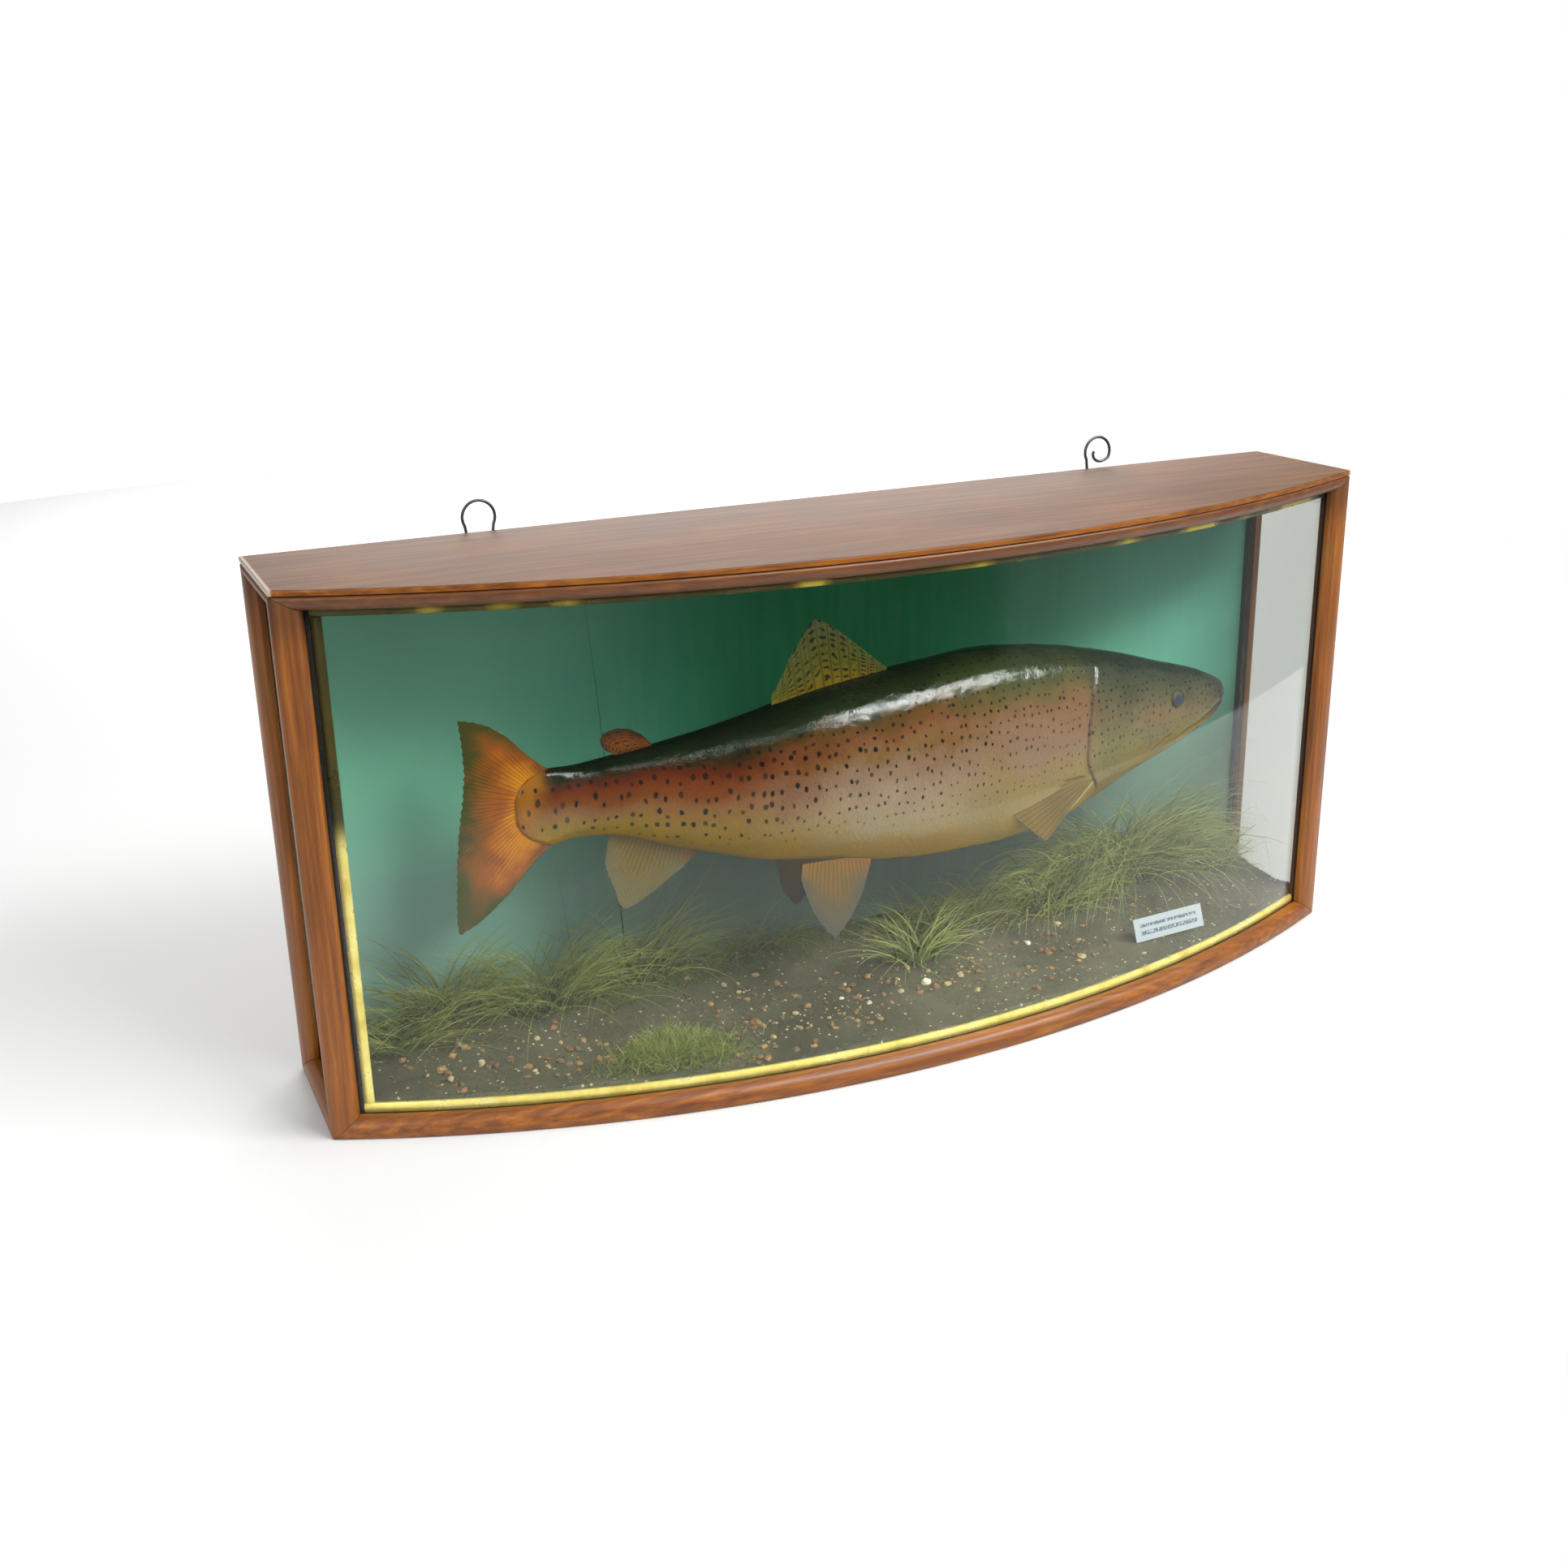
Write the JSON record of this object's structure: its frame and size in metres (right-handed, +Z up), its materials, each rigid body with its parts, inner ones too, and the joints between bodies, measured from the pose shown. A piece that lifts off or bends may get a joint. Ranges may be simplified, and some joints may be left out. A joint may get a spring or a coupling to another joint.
{
  "type": "mounted trout in a glazed case",
  "caption": "Life-size mounted rainbow trout in a bow-front mahogany case with gilt slips, a painted back, a moulded riverbed and wire hanging rings.",
  "frame": {"origin": "under the middle of the whole object's box, on the surface that the case stands on", "axes": "+X along the case from the fish's tail to its head, +Y from the bowed glass to the back board, +Z up"},
  "size_m": [0.9, 0.2278, 0.4362],
  "materials": {
    "mahogany": "french polished, worn",
    "pine": "bare",
    "painted_board": "matt paint, dark green to blue-green",
    "glass": "clear",
    "gilt": "gilded",
    "black_liner": "matt black",
    "steel_wire": "dull",
    "iron_wire": "bare rod",
    "fish_skin": "dried skin, painted and varnished",
    "fish_fin": "dried fin, painted and varnished",
    "glass_eye": "opaque painted glass",
    "riverbed": "sand and gravel on papier mache",
    "dyed_grass": "dried and dyed",
    "label_card": "matt"
  },
  "bodies": {
    "root": {"adipose_fin": "fish_fin", "anal_fin": "fish_fin", "back_board": "painted_board", "bottom_board": "pine", "dorsal_fin": "fish_fin", "eye_left": "glass_eye", "eye_right": "glass_eye", "fixing_rod_front": "iron_wire", "fixing_rod_rear": "iron_wire", "front_glass": "glass", "front_post_left": "mahogany", "front_post_right": "mahogany", "front_rail_bottom": "mahogany", "front_rail_top": "mahogany", "gill_cover_left": "fish_skin", "gill_cover_right": "fish_skin", "grass_belly": "dyed_grass", "grass_front": "dyed_grass", "grass_head": "dyed_grass", "grass_tail_inner": "dyed_grass", "grass_tail_outer": "dyed_grass", "grass_throat": "dyed_grass", "hanging_ring_left": "steel_wire", "hanging_ring_right": "steel_wire", "head": "fish_skin", "label_card": "label_card", "label_wedge": "pine", "liner_bottom": "black_liner", "liner_left": "black_liner", "liner_right": "black_liner", "liner_top": "black_liner", "lower_jaw": "fish_skin", "pectoral_fin_left": "fish_fin", "pectoral_fin_right": "fish_fin", "pelvic_fin_left": "fish_fin", "pelvic_fin_right": "fish_fin", "rear_post_left": "mahogany", "rear_post_right": "mahogany", "ring_plate_left": "steel_wire", "ring_plate_right": "steel_wire", "riverbed": "riverbed", "side_glass_left": "glass", "side_glass_right": "glass", "side_rail_left_bottom": "mahogany", "side_rail_left_top": "mahogany", "side_rail_right_bottom": "mahogany", "side_rail_right_top": "mahogany", "slip_bottom_left": "gilt", "slip_bottom_right": "gilt", "slip_left": "gilt", "slip_top_left": "gilt", "slip_top_right": "gilt", "tail_fin": "fish_fin", "tail_wrist": "fish_skin", "top_board": "mahogany", "trunk_front": "fish_skin", "trunk_rear": "fish_skin"}
  },
  "joints": []
}
